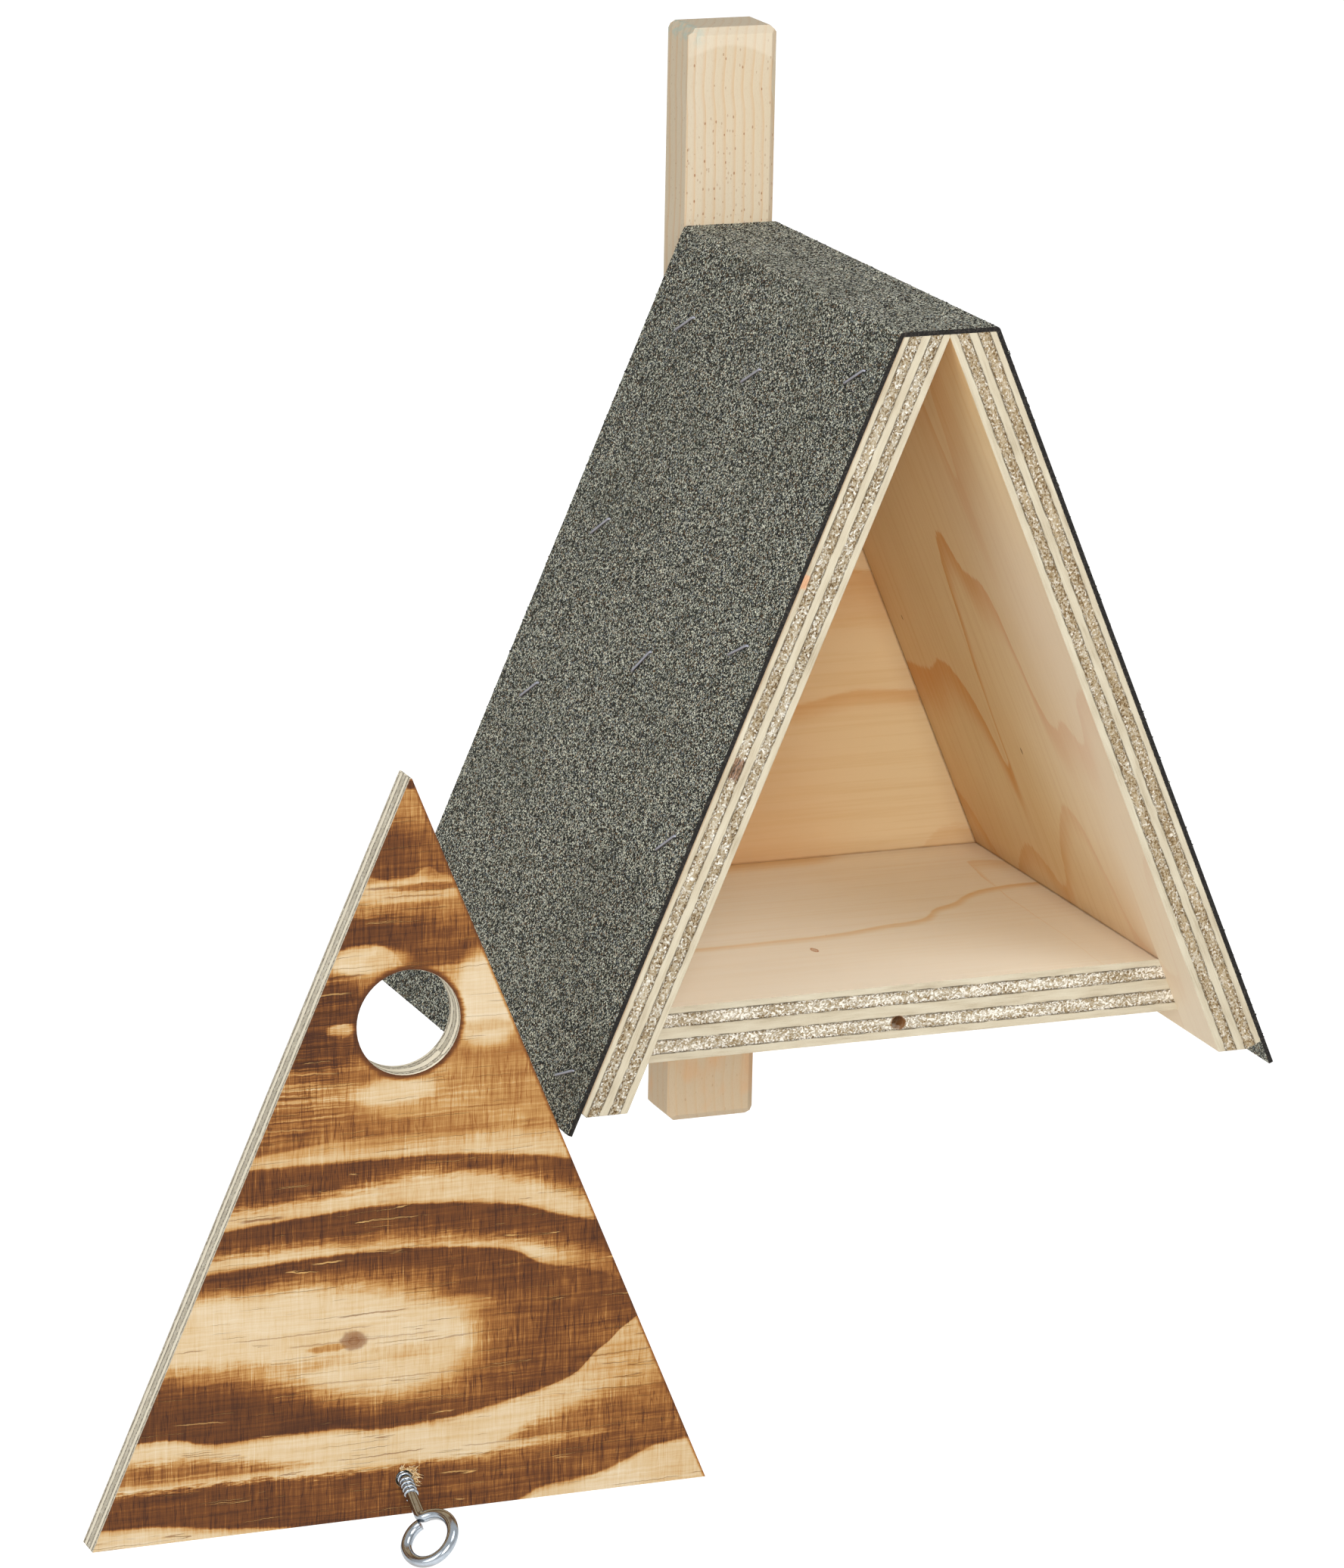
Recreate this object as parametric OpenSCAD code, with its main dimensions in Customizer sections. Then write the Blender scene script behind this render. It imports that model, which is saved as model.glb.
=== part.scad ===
// Gable-shaped nest box: two plywood roof boards, a floor and a back, felted over and hung by a batten.
// The front panel is taken off and lies lower left in front of the box, with its screw eye in it.
// Millimetres, +Z up, the open front faces -Y. The origin is the centre of the batten's back face.

/* [Roof boards] */
// Slope of each board, measured from the vertical
roof_angle = 23; // [20:1:26]
// Thickness of the roof boards
board_t = 15; // [12:0.5:18]
// Depth of the box from the front edges to the back edges
box_depth = 183; // [160:1:200]
// Height of the inner apex above the feet of the boards
apex_rise = 245; // [225:1:265]
// Height of the joint where the two boards meet at the top
mitre_rise = 1; // [0.5:0.1:2]
// Worn corner of the left board's foot, across and up
left_wear = [2.4, 1.7]; // [1:0.1:6]
// Worn corner of the right board's foot, across and up
right_wear = [6, 2.2]; // [1:0.1:6]

/* [Floor and back] */
// Thickness of the floor
floor_t = 18; // [15:0.5:20]
// Underside of the floor above the feet of the boards
floor_rise = 7.6; // [5:0.1:10]
// Floor's front edge behind the boards' front edges
recess = 25; // [20:0.5:30]
// Diameter of the hole for the screw eye in the floor's edge
pilot_d = 4.6; // [4:0.1:5.5]
// Depth of that hole
pilot_depth = 30; // [20:1:40]
// Thickness of the back panel
back_t = 10; // [8:0.5:12]

/* [Front panel] */
// Thickness of the front panel
front_t = 10; // [8:0.5:12]
// Gap beside the panel in its recess
side_gap = 1; // [0.5:0.1:2]
// Foot of the closed panel above the feet of the boards
panel_rise = 0.8; // [0.5:0.1:3]
// Height of the small flat at the tip
tip_cut = 0.8; // [0.4:0.1:2]
// Diameter of the entrance hole
entrance_d = 34; // [28:1:36]
// Centre of the entrance hole above the panel's foot
entrance_rise = 162.5; // [150:0.5:170]
// Centre of the screw eye above the panel's foot
eye_rise = 12; // [10:0.5:16]
// Diameter of the torn hole for the screw eye
eye_hole_d = 5.8; // [5.4:0.1:7]

/* [Panel as taken off] */
// How far left of the opening the panel lies
off_left = 183.5; // [175:0.5:260]
// How far below its closed place the panel lies
off_down = 120.7; // [110:0.1:140]
// Air between the panel's back and the boards' front edges
off_clear = 5.4; // [5:0.1:10]

/* [Batten] */
// Width of the batten
batten_w = 32; // [28:1:40]
// Thickness of the batten
batten_t = 23; // [18:1:28]
// Batten above the ridge
batten_above = 68; // [50:1:90]
// Batten below the feet of the boards
batten_below = 69; // [50:1:90]
// Eased long edges and ends of the batten
batten_ease = 2.5; // [1:0.5:4]
// Length of the two screws through the batten
batten_screw_l = 30; // [26:1:32]
// Diameter of those screws
batten_screw_d = 4; // [3.5:0.5:5]
// Diameter of their countersunk heads
batten_head_d = 8; // [7:0.5:10]

/* [Roofing felt] */
// Thickness of the felt
felt_t = 1.5; // [1:0.1:3]
// Felt beyond the boards' feet, along the slope
felt_drip = 6.3; // [3:0.1:12]

/* [Screw eye] */
// Diameter of the wire
wire_d = 3.7; // [3:0.1:4.5]
// Outer diameter of the ring
ring_d = 20.4; // [16:0.2:24]
// Outer diameter of the thread
thread_d = 4.8; // [4:0.1:5.2]
// How far the eye hangs below the level
eye_droop = 26; // [0:1:30]
// How far the ring is turned about its shank
eye_twist = 40; // [0:5:60]
// Thread that shows in front of the panel
thread_shown = 7.4; // [4:0.1:12]
// Plain shank between the thread and the ring
shank_l = 8.9; // [8:0.1:20]
// Thread behind the panel
thread_behind = 25.3; // [10:0.1:25.3]

/* [Staples] */
// Width of a staple
staple_w = 12; // [10:0.5:14]
// Thickness of its wire
staple_wire = 1; // [0.7:0.1:1.4]
// Length of its legs
staple_leg = 6; // [4:0.5:8]

/* [Hidden] */

slope = tan(roof_angle);
board_cut = board_t / cos(roof_angle);
ridge_rise = apex_rise + mitre_rise;
batten_l = batten_above + ridge_rise + batten_below;

// Heights and depths below are in the box's own frame: z = 0 at the boards' feet, y = 0 at their front edges.
lift = batten_l / 2 - batten_above - ridge_rise;
front_y = -batten_t - box_depth;

// The panel's front face where it lies, and its height
off_y = -off_clear - front_t;
panel_h = apex_rise - side_gap / sin(roof_angle) - panel_rise;

// Staples on one slope: distance behind the front edge, distance down from the ridge, turn
staple_places = [
    [18, 18, 35], [89, 33, 35], [152, 28, 35],
    [20, 112, 30], [83, 132, 50], [153, 101, 40],
    [15, 177, 40], [156, 161, 50], [19, 258, 25]
];

// Heights of the two screws through the batten, and how deep their heads are sunk
batten_screw_heights = [50, 150];
head_sink = 0.3;
// The eye bends this far in front of the panel, and its ring stops short of a full turn
eye_bend = 0.8;
ring_turn = 330;
point_l = 4;
point_r = 0.6;

ply = "burlywood";
pine = "wheat";
zinc = "silver";

// Half width of the space between the boards at height z
function inner_x(z) = (apex_rise - z) * slope;
// Outer face of a board at height z
function outer_x(z) = inner_x(z) + board_cut;
// Points on an arc about c, from angle a to angle b
function arc(c, r, a, b, steps = 6) =
    [for (i = [0 : steps]) c + r * [cos(a + (b - a) * i / steps), sin(a + (b - a) * i / steps)]];

// The same points on the other side of x = 0, in the opposite order
function mirrored(points) =
    [for (i = [len(points) - 1 : -1 : 0]) [-points[i][0], points[i][1]]];

// Puts a shape drawn in the box's frame into the part's frame
module in_box() {
    translate([0, front_y, lift])
        children();
}

// Stands an outline in x and z upright and gives it a depth, from y = from_y to the back
module upright(from_y, depth) {
    translate([0, from_y + depth, 0])
        rotate([90, 0, 0])
            linear_extrude(height = depth)
                children();
}

module roof_board_outline(wear) {
    polygon([
        [0, apex_rise],
        [0, ridge_rise],
        [outer_x(ridge_rise), ridge_rise],
        [outer_x(wear[1]), wear[1]],
        [outer_x(0) - wear[0], 0],
        [inner_x(0), 0]
    ]);
}

module left_roof_board() {
    color(ply)
        in_box()
            upright(0, box_depth)
                mirror([1, 0])
                    roof_board_outline(left_wear);
}

module right_roof_board() {
    color(ply)
        in_box()
            upright(0, box_depth)
                roof_board_outline(right_wear);
}

// Outline of a board that fills the space between the roof boards from z = low to z = high
module filling(low, high) {
    polygon([
        [-inner_x(low), low],
        [inner_x(low), low],
        [inner_x(high), high],
        [-inner_x(high), high]
    ]);
}

module floor() {
    color(ply)
        in_box()
            difference() {
                upright(recess, box_depth - recess - back_t)
                    filling(floor_rise, floor_rise + floor_t);
                translate([0, recess + pilot_depth, panel_rise + eye_rise])
                    rotate([90, 0, 0])
                        cylinder(d = pilot_d, h = pilot_depth + 1, $fn = 48);
            }
}

module back_panel() {
    color(pine)
        difference() {
            in_box()
                upright(box_depth - back_t, back_t)
                    polygon([
                        [-inner_x(panel_rise), panel_rise],
                        [inner_x(panel_rise), panel_rise],
                        [0, apex_rise]
                    ]);
            for (height = batten_screw_heights)
                at_batten_screw(height)
                    screw_outline(0.05);
        }
}

// One sheet folded over the left slope, the flat ridge and the right slope
module roof_felt() {
    fold = [outer_x(ridge_rise), ridge_rise];
    foot = [outer_x(0), 0];
    proud = felt_t * [cos(roof_angle), sin(roof_angle)];
    tip = foot + felt_drip * [sin(roof_angle), -cos(roof_angle)];
    outside = concat(arc(fold, felt_t, 90, roof_angle), [tip + proud]);
    inside = [tip, fold];
    color("dimgray")
        in_box()
            upright(0, box_depth)
                polygon(concat(mirrored(outside), outside, inside, mirrored(inside)));
}

// A rectangle, centred, with its four corners eased
module eased_outline(width, height) {
    x = width / 2;
    y = height / 2;
    e = batten_ease;
    polygon([
        [-x, e - y], [e - x, -y], [x - e, -y], [x, e - y],
        [x, y - e], [x - e, y], [e - x, y], [-x, y - e]
    ]);
}

module batten() {
    color(pine)
        difference() {
            translate([0, -batten_t / 2, 0])
                intersection() {
                    linear_extrude(height = batten_l, center = true)
                        eased_outline(batten_w, batten_t);
                    rotate([90, 0, 0])
                        linear_extrude(height = batten_t + 1, center = true)
                            eased_outline(batten_w, batten_l);
                    rotate([90, 0, 90])
                        linear_extrude(height = batten_w + 1, center = true)
                            eased_outline(batten_t, batten_l);
                }
            for (height = batten_screw_heights)
                at_batten_screw(height)
                    screw_outline(0.2);
        }
}

// The local +Z runs into the batten from its back face
module at_batten_screw(height) {
    translate([0, 0, lift + height])
        rotate([90, 0, 0])
            children();
}

// A countersunk screw with its head just under the surface; room widens it on all sides
module screw_outline(room) {
    head_r = batten_head_d / 2 + room;
    core_r = batten_screw_d / 2 + room;
    rotate_extrude($fn = 48)
        polygon([
            [0, head_sink - 4 * room],
            [head_r, head_sink - 4 * room],
            [head_r, head_sink],
            [core_r, head_sink + head_r - core_r],
            [core_r, batten_screw_l - 3],
            [0, batten_screw_l + room]
        ]);
}

module batten_screw(height) {
    color(zinc)
        at_batten_screw(height)
            difference() {
                screw_outline(0);
                for (turn = [0, 90])
                    rotate([0, 0, turn])
                        translate([-batten_head_d / 4, -0.5, 0])
                            cube([batten_head_d / 2, 1, head_sink + 1.4]);
            }
}

// Puts a shape drawn from the middle of the panel's foot, at its front face, where the panel lies
module at_rest() {
    in_box()
        translate([-off_left, off_y, panel_rise - off_down])
            children();
}

module front_panel() {
    tip_x = tip_cut * slope;
    color("peru")
        at_rest()
            difference() {
                upright(0, front_t)
                    polygon([
                        [-panel_h * slope, 0],
                        [panel_h * slope, 0],
                        [tip_x, panel_h - tip_cut],
                        [-tip_x, panel_h - tip_cut]
                    ]);
                panel_hole(entrance_d, entrance_rise);
                panel_hole(eye_hole_d, eye_rise);
            }
}

module panel_hole(d, height) {
    translate([0, front_t + 1, height])
        rotate([90, 0, 0])
            cylinder(d = d, h = front_t + 2, $fn = 96);
}

// The thread behind the bend is square to the panel, and the rest hangs down
module screw_eye() {
    thread_r = thread_d / 2;
    wire_r = wire_d / 2;
    mean_r = (ring_d - wire_d) / 2;
    neck = thread_shown + shank_l + wire_r;
    square_l = eye_bend + front_t + thread_behind;
    color(zinc)
        at_rest()
            translate([0, -eye_bend, eye_rise]) {
                rotate([-90, 0, 0]) {
                    cylinder(r = thread_r, h = square_l - point_l, $fn = 48);
                    translate([0, 0, square_l - point_l])
                        cylinder(r1 = thread_r, r2 = point_r, h = point_l, $fn = 48);
                }
                sphere(r = thread_r + 0.1, $fn = 48);
                rotate([90 + eye_droop, 0, 0]) {
                    cylinder(r = thread_r - 0.05, h = thread_shown, $fn = 48);
                    cylinder(r = wire_r, h = neck, $fn = 48);
                    translate([0, 0, neck]) {
                        sphere(r = wire_r + 0.1, $fn = 48);
                        rotate([90, 0, eye_twist])
                            translate([0, mean_r])
                                rotate([0, 0, -90])
                                    rotate_extrude(angle = ring_turn, $fn = 64)
                                        translate([mean_r, 0])
                                            circle(r = wire_r - 0.05, $fn = 32);
                    }
                }
            }
}

// A staple with its crown along X on z = 0 and its legs down
module staple() {
    x = staple_w / 2;
    translate([-x, -staple_wire / 2, 0])
        cube([staple_w, staple_wire, staple_wire]);
    for (side = [-x, x - staple_wire])
        translate([side, -staple_wire / 2, -staple_leg])
            cube([staple_wire, staple_wire, staple_leg + staple_wire / 2]);
}

// A staple on the right slope, at [depth, drop, turn]
module staple_on_slope(place) {
    color(zinc)
        in_box()
            translate([outer_x(ridge_rise), 0, ridge_rise])
                rotate([0, 90 - roof_angle, 0])
                    translate([place[1], place[0], felt_t])
                        rotate([0, 0, 90 - place[2]])
                            staple();
}

module staple_left(number) {
    mirror([1, 0, 0])
        staple_on_slope(staple_places[number - 1]);
}

module staple_right(number) {
    staple_on_slope(staple_places[number - 1]);
}

left_roof_board();
right_roof_board();
floor();
back_panel();
roof_felt();
batten();
batten_screw(batten_screw_heights[1]);  // batten_screw_upper
batten_screw(batten_screw_heights[0]);  // batten_screw_lower
front_panel();
screw_eye();
for (number = [1 : 9]) {
    staple_left(number);
    staple_right(number);
}
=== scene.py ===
import math
import random

import bmesh
import bpy
from mathutils import Matrix, Vector


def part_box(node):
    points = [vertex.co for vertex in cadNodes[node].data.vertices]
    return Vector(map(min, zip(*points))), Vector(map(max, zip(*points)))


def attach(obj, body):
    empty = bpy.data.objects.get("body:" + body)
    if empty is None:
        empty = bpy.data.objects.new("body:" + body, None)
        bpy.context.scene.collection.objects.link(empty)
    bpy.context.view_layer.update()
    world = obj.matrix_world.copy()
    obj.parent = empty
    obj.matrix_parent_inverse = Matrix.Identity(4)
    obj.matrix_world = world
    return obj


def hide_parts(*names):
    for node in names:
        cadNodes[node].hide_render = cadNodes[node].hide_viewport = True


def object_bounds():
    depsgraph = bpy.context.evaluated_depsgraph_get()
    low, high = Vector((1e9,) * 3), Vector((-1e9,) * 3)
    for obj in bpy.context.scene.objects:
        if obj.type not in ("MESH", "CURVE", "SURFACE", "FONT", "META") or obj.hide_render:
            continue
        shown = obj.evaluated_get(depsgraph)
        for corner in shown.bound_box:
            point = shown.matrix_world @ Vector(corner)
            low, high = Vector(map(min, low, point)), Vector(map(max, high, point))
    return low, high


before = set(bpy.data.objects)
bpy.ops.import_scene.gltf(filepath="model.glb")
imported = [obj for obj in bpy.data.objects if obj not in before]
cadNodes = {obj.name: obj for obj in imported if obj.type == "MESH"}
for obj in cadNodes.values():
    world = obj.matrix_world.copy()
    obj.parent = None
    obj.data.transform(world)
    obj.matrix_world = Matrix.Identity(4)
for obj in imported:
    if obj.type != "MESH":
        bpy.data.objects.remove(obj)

cadLow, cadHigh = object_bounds()
print("frame loaded,", len(cadNodes), "nodes")


# sizes read from the frame

boardLow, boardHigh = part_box("right_roof_board")
floorLow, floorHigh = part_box("floor")
panelLow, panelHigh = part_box("front_panel")
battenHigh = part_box("batten")[1]
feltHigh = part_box("roof_felt")[1]

rightward, inward, upward = Vector((1, 0, 0)), Vector((0, 1, 0)), Vector((0, 0, 1))
footHeight = boardLow.z  # the boards' feet
frontDepth = boardLow.y  # the boards' front edges
roofTurn = math.radians(23)
downRight = Vector((math.sin(roofTurn), 0, -math.cos(roofTurn)))
outRight = Vector((math.cos(roofTurn), 0, math.sin(roofTurn)))
downLeft = Vector((-downRight.x, 0, downRight.z))
outLeft = Vector((-outRight.x, 0, outRight.z))
apex = Vector((0, frontDepth, footHeight + 0.245))  # inner apex, at the front edges
floorTop = Vector((0, 0, floorHigh.z))
backFace = Vector((0, boardHigh.y - 0.01, footHeight))  # the back panel's front
panelFoot = Vector(((panelLow.x + panelHigh.x) / 2, panelLow.y, panelLow.z))


# camera

camera = {
    "place": (-0.8872, -2.1862, 0.5705),
    "turn": -21.904,
    "down": 15.342,
    "roll": -1.131,
    "lens": 161.87,
}


def show(name, data):
    # a new object in the scene
    thing = bpy.data.objects.new(name, data)
    bpy.context.scene.collection.objects.link(thing)
    return thing


def makeCamera(sizes):
    data = bpy.data.cameras.new("camera")
    data.lens = sizes["lens"]
    data.sensor_width = 36
    data.clip_start = 0.05
    data.clip_end = 80
    eye = show("camera", data)
    turn, down = math.radians(sizes["turn"]), math.radians(sizes["down"])
    ahead = Vector((-math.sin(turn) * math.cos(down), math.cos(turn) * math.cos(down), -math.sin(down)))
    aim = ahead.to_track_quat("-Z", "Y")
    aim.rotate(Matrix.Rotation(math.radians(sizes["roll"]), 3, ahead))
    eye.rotation_mode = "QUATERNION"
    eye.location = sizes["place"]
    eye.rotation_quaternion = aim
    bpy.context.scene.camera = eye


makeCamera(camera)
print("camera set")


# materials


def paint(red, green, blue):
    # 0 to 255 as seen on a screen, to the linear colour that a shader takes
    part = [c / 255 for c in (red, green, blue)]
    return tuple(c / 12.92 if c < 0.04045 else ((c + 0.055) / 1.055) ** 2.4 for c in part) + (1,)


def arithmetic(operation):
    # two methods that add a Math node: for a value on the right, and for one on the left
    def straight(self, value):
        return self.tree.calc(operation, self, value)

    def swapped(self, value):
        return self.tree.calc(operation, value, self)

    return straight, swapped


class Wire:
    # an output socket; arithmetic on it adds Math nodes
    __add__, __radd__ = arithmetic("ADD")
    __sub__, __rsub__ = arithmetic("SUBTRACT")
    __mul__, __rmul__ = arithmetic("MULTIPLY")
    __truediv__, __rtruediv__ = arithmetic("DIVIDE")
    __pow__, __rpow__ = arithmetic("POWER")
    __gt__, __lt__ = arithmetic("GREATER_THAN")

    def __init__(self, tree, socket):
        self.tree = tree
        self.socket = socket

    def __abs__(self):
        return self.tree.calc("ABSOLUTE", self)

    def other(self, name):
        return Wire(self.tree, self.socket.node.outputs[name])


class Tree:
    # a node tree, built call by call
    def __init__(self, tree):
        self.tree = tree
        tree.nodes.clear()

    def add(self, kind, inputs=None, output=0, **settings):
        node = self.tree.nodes.new(kind)
        for name, value in settings.items():
            setattr(node, name, value)
        for name, value in (inputs or {}).items():
            for part in value if isinstance(value, list) else [value]:
                if isinstance(part, Wire):
                    self.tree.links.new(part.socket, node.inputs[name])
                else:
                    node.inputs[name].default_value = part
        return Wire(self, node.outputs[output]) if node.outputs else None

    def calc(self, operation, *values, clamp=False):
        return self.add("ShaderNodeMath", dict(enumerate(values)), operation=operation, use_clamp=clamp)

    def clamp(self, value):
        return self.calc("ADD", value, 0, clamp=True)

    def larger(self, a, b):
        return self.calc("MAXIMUM", a, b)

    def smaller(self, a, b):
        return self.calc("MINIMUM", a, b)

    def join(self, x, y, z):
        return self.add("ShaderNodeCombineXYZ", {0: x, 1: y, 2: z})

    def scale(self, vector, factor):
        return self.add("ShaderNodeVectorMath", {0: vector, "Scale": factor}, operation="SCALE")


class Shape(Tree):
    # a Geometry Nodes tree with named sizes, run once to leave a plain mesh
    def __init__(self, name, sizes):
        super().__init__(bpy.data.node_groups.new(name, "GeometryNodeTree"))
        self.name = name
        self.sizes = sizes
        ports = self.tree.interface
        ports.new_socket("Mesh", in_out="INPUT", socket_type="NodeSocketGeometry")
        ports.new_socket("Mesh", in_out="OUTPUT", socket_type="NodeSocketGeometry")
        for label, value in sizes.items():
            kind = {int: "Int", float: "Float"}.get(type(value), "Material")
            ports.new_socket(label, in_out="INPUT", socket_type="NodeSocket" + kind)
        self.given = self.add("NodeGroupInput")

    def size(self, label):
        return self.given.other(label)

    def spot(self, axis):
        return self.add("ShaderNodeSeparateXYZ", {0: self.add("GeometryNodeInputPosition")}, axis)

    def mark(self, name, kind="FLOAT_VECTOR"):
        return self.add("GeometryNodeInputNamedAttribute", {"Name": name}, data_type=kind)

    def rod(self, start, end, count):
        line = self.add("GeometryNodeCurvePrimitiveLine", {"Start": start, "End": end})
        return self.add("GeometryNodeResampleCurve", {"Curve": line, "Count": count})

    def move(self, geometry, position):
        return self.add("GeometryNodeSetPosition", {"Geometry": geometry, "Position": position})

    def sweep(self, curve, radius, sides, scale=1.0):
        ring = self.add("GeometryNodeCurvePrimitiveCircle", {"Resolution": sides, "Radius": radius})
        inputs = {"Curve": curve, "Profile Curve": ring, "Scale": scale, "Fill Caps": True}
        tube = self.add("GeometryNodeCurveToMesh", inputs)
        return self.add("GeometryNodeSetShadeSmooth", {"Geometry": tube, "Shade Smooth": True})

    def points(self):
        return self.add("GeometryNodeMeshToPoints", {"Mesh": self.given})

    def scatter(self, points, piece, turn, scale=(1, 1, 1)):
        turn = self.add("FunctionNodeEulerToRotation", {0: turn})
        inputs = {"Points": points, "Instance": piece, "Rotation": turn, "Scale": scale}
        return self.add("GeometryNodeInstanceOnPoints", inputs)

    def grow(self, geometry, start=None):
        whole = self.add("GeometryNodeRealizeInstances", {"Geometry": geometry})
        whole = self.add("GeometryNodeSetMaterial", {"Geometry": whole, "Material": self.size("Finish")})
        self.add("NodeGroupOutput", {"Mesh": whole})
        piece = show(self.name, start or bpy.data.meshes.new(self.name))
        modifier = piece.modifiers.new("shape", "NODES")
        modifier.node_group = self.tree
        for port in self.tree.interface.items_tree:
            if port.in_out == "INPUT" and port.name in self.sizes:
                modifier[port.identifier] = self.sizes[port.name]
        ready = piece.evaluated_get(bpy.context.evaluated_depsgraph_get())
        made = bpy.data.meshes.new_from_object(ready)
        piece.modifiers.clear()
        piece.data = made
        made.name = self.name
        return piece


def fill(spots, values, place, *new):
    # as many points on a ramp or a curve as there are values
    while len(spots) < len(values):
        spots.new(*new)
    for spot, value in zip(spots, values):
        setattr(spot, place, value)


class Finish(Tree):
    # a material, built call by call; lengths are in millimetres
    def __init__(self, name):
        self.material = bpy.data.materials.new(name)
        self.material.use_nodes = True
        super().__init__(self.material.node_tree)
        where = self.add("ShaderNodeTexCoord", output="Object")
        self.place = self.scale(where, 1000)
        self.facing = where.other("Normal")

    def ease(self, value, low, high):
        # 0 at low, 1 at high, smooth between; high may be the smaller
        inputs = {"Value": value, "From Min": low, "From Max": high}
        return self.add("ShaderNodeMapRange", inputs, interpolation_type="SMOOTHSTEP")

    def dot(self, vector, axis):
        inputs = {0: vector, 1: tuple(axis)}
        return self.add("ShaderNodeVectorMath", inputs, "Value", operation="DOT_PRODUCT")

    def along(self, origin, axis):
        # distance of the surface point from origin along axis
        return self.dot(self.place, axis) - 1000 * Vector(origin).dot(Vector(axis))

    def noise(self, point, scale, detail=2.0, roughness=0.5):
        inputs = {"Vector": point, "Scale": scale, "Detail": detail, "Roughness": roughness}
        return self.add("ShaderNodeTexNoise", inputs)

    def flow(self, x, y, z, detail=2.0, roughness=0.5):
        # noise on distances that are each stretched their own way
        return self.noise(self.join(x, y, z), 1, detail, roughness)

    def cells(self, point, scale):
        # distance to the nearest cell's point; its colour is the other output
        return self.add("ShaderNodeTexVoronoi", {"Vector": point, "Scale": scale})

    def split(self, colour):
        first = self.add("ShaderNodeSeparateColor", {0: colour})
        return [first, first.other("Green"), first.other("Blue")]

    def mix(self, mask, a, b):
        return self.add("ShaderNodeMix", {0: mask, 6: a, 7: b}, 2, data_type="RGBA")

    def over(self, colour, mask, red, green, blue):
        return self.mix(mask, colour, paint(red, green, blue))

    def ramp(self, value, stops):
        # each stop is its place and its colour as seen on a screen
        made = self.add("ShaderNodeValToRGB", {0: value})
        elements = made.socket.node.color_ramp.elements
        fill(elements, [stop[0] for stop in stops], "position", 1)
        fill(elements, [paint(*stop[1:]) for stop in stops], "color", 1)
        return made

    def line(self, value, points, low, end, high):
        # a curve from low to end through the points; it takes and gives values from low to high
        first, last, between = points
        reach = high - low
        made = self.add("ShaderNodeFloatCurve", {"Value": (value - low) / reach})
        mapping = made.socket.node.mapping
        spots = [(low, first), *between, (end, last)]
        scaled = [((a - low) / reach, (b - low) / reach) for a, b in spots]
        fill(mapping.curves[0].points, scaled, "location", 1, 1)
        mapping.update()
        return made * reach + low

    def bump(self, height, depth):
        # depth is in millimetres for a height of 1
        return self.add("ShaderNodeBump", {"Height": height, "Distance": depth / 1000, "Strength": 1.0})

    def skin(self, colour, roughness, normal, metallic=0.0, gloss=0.3):
        inputs = {"Base Color": colour, "Roughness": roughness, "Normal": normal, "Metallic": metallic}
        return self.add("ShaderNodeBsdfPrincipled", {**inputs, "Specular IOR Level": gloss})

    def choose(self, mask, first, second):
        return self.add("ShaderNodeMixShader", {0: mask, 1: first, 2: second})

    def close(self, shader):
        self.add("ShaderNodeOutputMaterial", {0: shader})
        return self.material


# a sawn edge's colours from dark to light, on plies cut across their grain and along it
endStops = [
    (0.0, 74, 54, 36), (0.2, 152, 126, 90), (0.42, 198, 175, 137), (0.7, 219, 204, 175),
    (1.0, 250, 245, 232),
]
longStops = [(0.1, 174, 160, 134), (0.42, 199, 187, 162), (0.85, 213, 204, 181)]


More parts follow.
